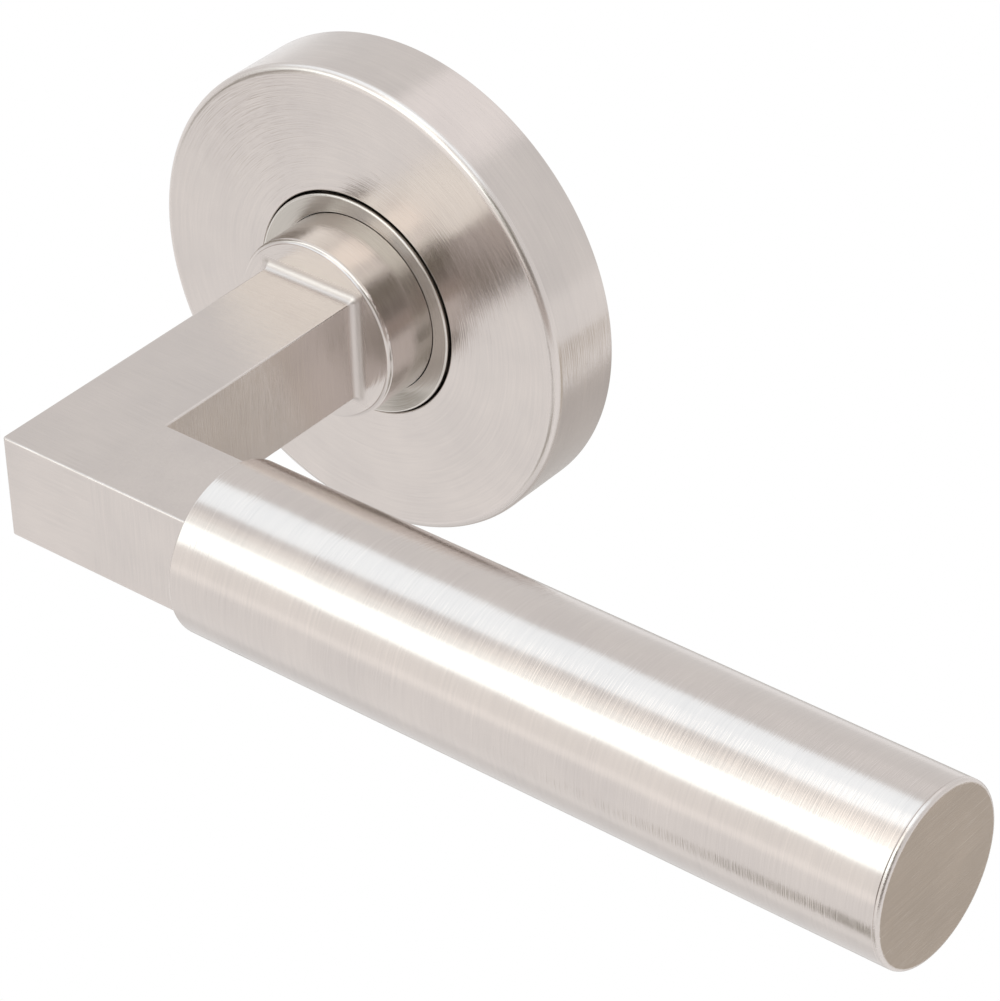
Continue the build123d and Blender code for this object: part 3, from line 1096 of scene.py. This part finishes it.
@dataclass
class Works:
    """What is behind the cover: base, spring unit and what holds the lever in."""

    post_radius: float = 4.0
    post_spigot: float = 3.0
    post_head: float = 3.9
    post_bore: float = 1.65
    post_shoulder: float = 1.6
    bore_point: float = 0.9
    bore_edge: float = 0.2
    tip_edge: float = 0.45
    head_edge: float = 0.35
    plate_radius: float = 30.7
    pocket_radius: float = 11.0
    plate_bore: float = 8.08
    cord_gap: float = 0.012
    cord_hold: float = 0.004
    cup_radius: float = 14.8
    cup_opening: float = 10.25
    fixing_hole: tuple[float, float, float] = (17.68, 17.68, 4.0)
    first_seed: float = 50.0
    seed_step: float = 2.0

    def build(self) -> None:
        """Turn the posts and the rubber ring, and dress every other hidden piece."""
        plate_front = -float(box_mm("base_plate")[0][1])
        self.build_posts(plate_front)
        self.build_cover_ring()
        turned, rolled = Brushing.ROUND_SPINDLE, Brushing.ALONG_LEVER
        plate_edges = RoundEdges(
            (self.plate_radius, self.pocket_radius, self.plate_bore), (0.0, plate_front)
        )
        post_x = float(box_mm("mounting_posts")[1][0]) - self.post_radius
        # Painted shade round the posts and the fixing holes, with a dull film.
        hole_shade_and_film = HoleShadeAndFilm(((post_x, 0.0, self.post_radius), self.fixing_hole))
        plate_zinc = ZINC_PLATE.make(
            "base plate zinc", rolled, seed=20.0, worn=plate_edges.mask, shade_and_film=hole_shade_and_film.mask
        )
        dress_node("base_plate", plate_zinc)
        cup_front = -float(box_mm("spring_housing")[0][1])
        cup_edges = RoundEdges((self.cup_radius, self.cup_opening), (cup_front,))
        cup_zinc = ZINC_PLATE.make("housing zinc", turned, seed=26.0, worn=cup_edges.mask)
        dress_node("spring_housing", cup_zinc)
        low, high = box_mm("spindle")
        bar_edges = SquareEdges(float(high[0]), (-float(high[1]), -float(low[1])))
        bar_zinc = ZINC_PLATE.make(
            "spindle zinc", Brushing.ALONG_DEPTH, seed=44.0, worn=bar_edges.mask
        )
        dress_node("spindle", bar_zinc)
        for number, (node, finish, way) in enumerate(
            (
                ("housing_screws", SCREW_STEEL, rolled),
                ("stop_pins", SCREW_STEEL, Brushing.ALONG_DEPTH),
                ("return_spring", SPRING_STEEL, turned),
                ("spring_driver", ZINC_PLATE, rolled),
                ("thrust_washer", NYLON, turned),
                ("bearing_bush", NYLON, turned),
                ("wave_washer", SPRING_STEEL, turned),
                ("circlip", SPRING_STEEL, turned),
                ("spindle_grub_screw", BLACK_OXIDE, turned),
            )
        ):
            seed = self.first_seed + self.seed_step * number
            dress_node(node, finish.make(f"{node} finish", way, seed))

    def build_posts(self, plate_front: float) -> None:
        """Turn and thread the two posts, each with its tapped bore and its riveted head.

        Args:
            plate_front: The depth of the plate's front face.
        """
        low, high = box_mm("mounting_posts")
        tip, front = -float(high[1]), -float(low[1])
        corners = (
            Corner(self.bore_point, 0.0),
            Corner(0.0, self.post_bore),
            Corner(tip, self.post_bore, self.bore_edge),
            Corner(tip, self.post_radius, self.tip_edge),
            Corner(self.post_shoulder, self.post_radius),
            Corner(self.post_shoulder, self.post_spigot),
            Corner(plate_front, self.post_spigot),
            Corner(plate_front, self.post_head),
            Corner(front, self.post_head, self.head_edge),
            Corner(front, 0.0),
        )
        grids = [
            Threaded(
                corners,
                Brushing.ROUND_SPINDLE,
                (side * (float(high[0]) - self.post_radius), 0.0, 0.0),
                closed=False,
                steps=96,
                arc_steps=5,
                thread_radius=self.post_radius,
            ).grid()
            for side in (-1.0, 1.0)
        ]
        place_piece(
            make_mesh("mounting_posts_threaded", *join_grids(*grids)),
            ZINC_PLATE.make("post zinc", Brushing.UPRIGHT, seed=23.0),
            "rose_base",
            "plated_steel",
            "mounting_posts",
        )

    def build_cover_ring(self) -> None:
        """Turn the rubber ring in the plate's rim, round in section."""
        low, high = box_mm("cover_o_ring")
        back, front, outer = -float(high[1]), -float(low[1]), float(high[0])
        inner = outer - (front - back)
        cord = (front - back) / 2 - self.cord_gap
        ring = Turned(
            (
                Corner(back, inner, cord),
                Corner(back, outer, cord),
                Corner(front, outer, cord),
                Corner(front, inner, cord),
            ),
            Brushing.ROUND_SPINDLE,
            hold=self.cord_hold,
        )
        place_piece(
            make_mesh("cover_ring_rubber", *ring.grid()),
            RING_RUBBER.make("cover ring rubber", Brushing.ROUND_SPINDLE, seed=24.0),
            "rose_base",
            "ring_rubber",
            "cover_o_ring",
        )


# ---------------------------------------------------------------- studio


@dataclass(frozen=True)
class SoftBox:
    """A flat soft light, as bright as its colour says all over."""

    name: str
    centre: Point
    aim: Point
    width: float
    height: float
    colour: Colour

    def build(self) -> None:
        """Hang the light, with its width level."""
        light = bpy.data.lights.new(self.name, "AREA")
        light.shape = "RECTANGLE"
        light.size = self.width
        light.size_y = self.height
        strongest = max(self.colour)
        light.color = [c / strongest for c in self.colour]
        light.energy = strongest * math.pi * self.width * self.height
        holder = bpy.data.objects.new(self.name, light)
        bpy.context.scene.collection.objects.link(holder)
        holder.matrix_world = looking(self.centre, self.aim)
        holder.visible_camera = False


@dataclass(frozen=True)
class Flag:
    """A dark or grey card that stands out of view and shows only in the metal."""

    name: str
    centre: Point
    aim: Point
    width: float
    height: float
    colour: Colour

    def build(self) -> None:
        """Stand the card up."""
        corners = np.array([[-1, -1, 0], [1, -1, 0], [1, 1, 0], [-1, 1, 0]]) * 0.5
        corners = corners * np.array([self.width, self.height, 1.0])
        turned = np.array(looking(self.centre, self.aim))
        points = corners @ turned[:3, :3].T + turned[:3, 3]
        mesh = bpy.data.meshes.new(self.name)
        mesh.from_pydata(points.tolist(), [], [[0, 1, 2, 3]])
        card = bpy.data.objects.new(self.name, mesh)
        bpy.context.scene.collection.objects.link(card)
        mesh.materials.append(glowing(f"{self.name} card", self.colour))
        card.visible_camera = False
        card.visible_shadow = False


def looking(centre: Point, aim: Point, roll: float = 0.0) -> Matrix:
    """Where a camera, light or card stands that looks along its own -Z at a point.

    Args:
        centre: Where it stands, in metres.
        aim: The point that it looks at.
        roll: How far its top leans to its right, in degrees.

    Returns:
        Its matrix.
    """
    forward = (Vector(aim) - Vector(centre)).normalized()
    level = forward.cross(Vector((0.0, 0.0, 1.0))).normalized()
    rise = level.cross(forward)
    lean = math.radians(roll)
    up = rise * math.cos(lean) + level * math.sin(lean)
    right = level * math.cos(lean) - rise * math.sin(lean)
    turned = Matrix((right, up, -forward)).transposed().to_4x4()
    turned.translation = Vector(centre)
    return turned


def glowing(name: str, colour: Colour) -> bpy.types.Material:
    """Make a surface that is equally bright all over.

    Args:
        name: The material's name.
        colour: How bright it is in each colour.

    Returns:
        The material.
    """
    material = bpy.data.materials.new(name)
    tree = ShaderTree(material)
    light = tree.node("ShaderNodeEmission", {}, {"Color": colour, "Strength": 1.0})
    tree.node("ShaderNodeOutputMaterial", {}, {"Surface": light})
    return material


# Level with the grip and far to its left, where the long lights aim to lie parallel to it
GRIP_LEFT: Point = (-0.45, -0.06, 0.0)


@dataclass
class Studio:
    """Floor, lights and camera, in metres."""

    floor_height: float = -0.30
    floor_size: float = 8.0
    floor_colour: Colour = (1.0, 1.0, 1.0)
    air_colour: Colour = (0.87, 0.87, 0.87)
    camera_place: Point = (0.312258, -0.357722, 0.293986)
    camera_aim: Point = (0.046925, -0.040, 0.005267)
    camera_roll: float = 1.756
    camera_lens: float = 156.38
    boxes: tuple[SoftBox, ...] = (
        SoftBox("left soft box", (-0.45, -0.631, 0.405), GRIP_LEFT, 1.9, 0.34, (0.60, 0.70, 0.70)),
        SoftBox("left soft edge", (-0.45, -0.585, 0.455), GRIP_LEFT, 1.9, 0.46, (0.19, 0.23, 0.23)),
        SoftBox(
            "neck light", (-0.05, -0.33, 0.70), (-0.05, -0.03, 0.0),
            0.38, 0.66, (0.62, 0.60, 0.54),
        ),
        SoftBox(
            "back top box", (0.03, 0.50, 0.62), (0.03, -0.02, 0.0),
            0.50, 0.30, (0.24, 0.23, 0.24),
        ),
        SoftBox("top soft box", (-0.45, 0.011, 0.696), GRIP_LEFT, 1.9, 0.47, (0.46, 0.58, 0.66)),
        SoftBox("front fill", (-0.45, -0.955, 0.342), GRIP_LEFT, 2.2, 1.98, (0.21, 0.20, 0.18)),
    )
    flags: tuple[Flag, ...] = (
        Flag(
            "low flag", (0.28, 0.129, -0.172), (0.122, -0.06, 0.0),
            0.16, 0.16, (0.57, 0.52, 0.45),
        ),
        # Painted shadow: a grey card behind and below the rose, standing in for the rose's shadow
        # on the floor behind it.
        Flag(
            "back flag", (0.005, 0.125, -0.12), (0.005, 0.1251, 0.0),
            0.25, 0.25, (0.62, 0.60, 0.58),
        ),
        Flag(
            "right flag", (0.46, -0.55, 0.05), (0.0, -0.03, 0.0),
            0.60, 0.42, (0.30, 0.28, 0.26),
        ),
        # Painted shadow: a small dark card under the bar beside the rose, standing in for the
        # grip's shadow.
        Flag(
            "grip flag", (0.0240, -0.0526, -0.0209), (0.0, -0.0236, 0.0051),
            0.0182, 0.0075, (0.18, 0.16, 0.13),
        ),
        Flag(
            "foot flag", (0.035, -0.25, -0.29), (0.012, -0.012, -0.012),
            0.19, 0.16, (0.36, 0.345, 0.30),
        ),
        Flag(
            "lens flag", (0.235, -0.25, 0.18), (0.012, -0.012, 0.012),
            0.16, 0.17, (0.26, 0.245, 0.205),
        ),
        Flag(
            "left flag", (-0.31, -0.25, -0.01), (-0.012, -0.012, 0.0),
            0.10, 0.30, (0.32, 0.30, 0.26),
        ),
        Flag(
            "under flag", (-0.08, 0.02, -0.25), (-0.08, 0.0201, 0.0),
            0.36, 0.30, (0.85, 0.85, 0.85),
        ),
    )

    def build(self) -> None:
        """Set up the floor, the lights and the camera."""
        half = self.floor_size / 2
        mesh = bpy.data.meshes.new("floor")
        corners = [(-half, -half), (half, -half), (half, half), (-half, half)]
        mesh.from_pydata([(x, y, self.floor_height) for x, y in corners], [], [[0, 1, 2, 3]])
        floor = bpy.data.objects.new("floor", mesh)
        bpy.context.scene.collection.objects.link(floor)
        mesh.materials.append(glowing("pale floor", self.floor_colour))
        for light in (*self.boxes, *self.flags):
            light.build()
        world = bpy.data.worlds.new("studio air")
        bpy.context.scene.world = world
        tree = ShaderTree(world)
        air = tree.node("ShaderNodeBackground", {}, {"Color": self.air_colour, "Strength": 1.0})
        tree.node("ShaderNodeOutputWorld", {}, {"Surface": air})
        camera = bpy.data.cameras.new("camera")
        camera.lens = self.camera_lens
        camera.sensor_width = 36.0
        camera.clip_start = 0.01
        camera.clip_end = 50.0
        holder = bpy.data.objects.new("camera", camera)
        bpy.context.scene.collection.objects.link(holder)
        holder.matrix_world = looking(self.camera_place, self.camera_aim, self.camera_roll)
        bpy.context.scene.camera = holder
        bpy.context.scene.view_settings.view_transform = "Standard"
        log.info("studio: %d lights, %d flags", len(self.boxes), len(self.flags))


def main() -> None:
    """Build every sub-assembly and the studio, in order."""
    logging.basicConfig(level=logging.INFO, format="%(message)s")
    for part in (Rose(), Lever(), Works(), Studio()):
        part.build()


if __name__ == "__main__":
    main()
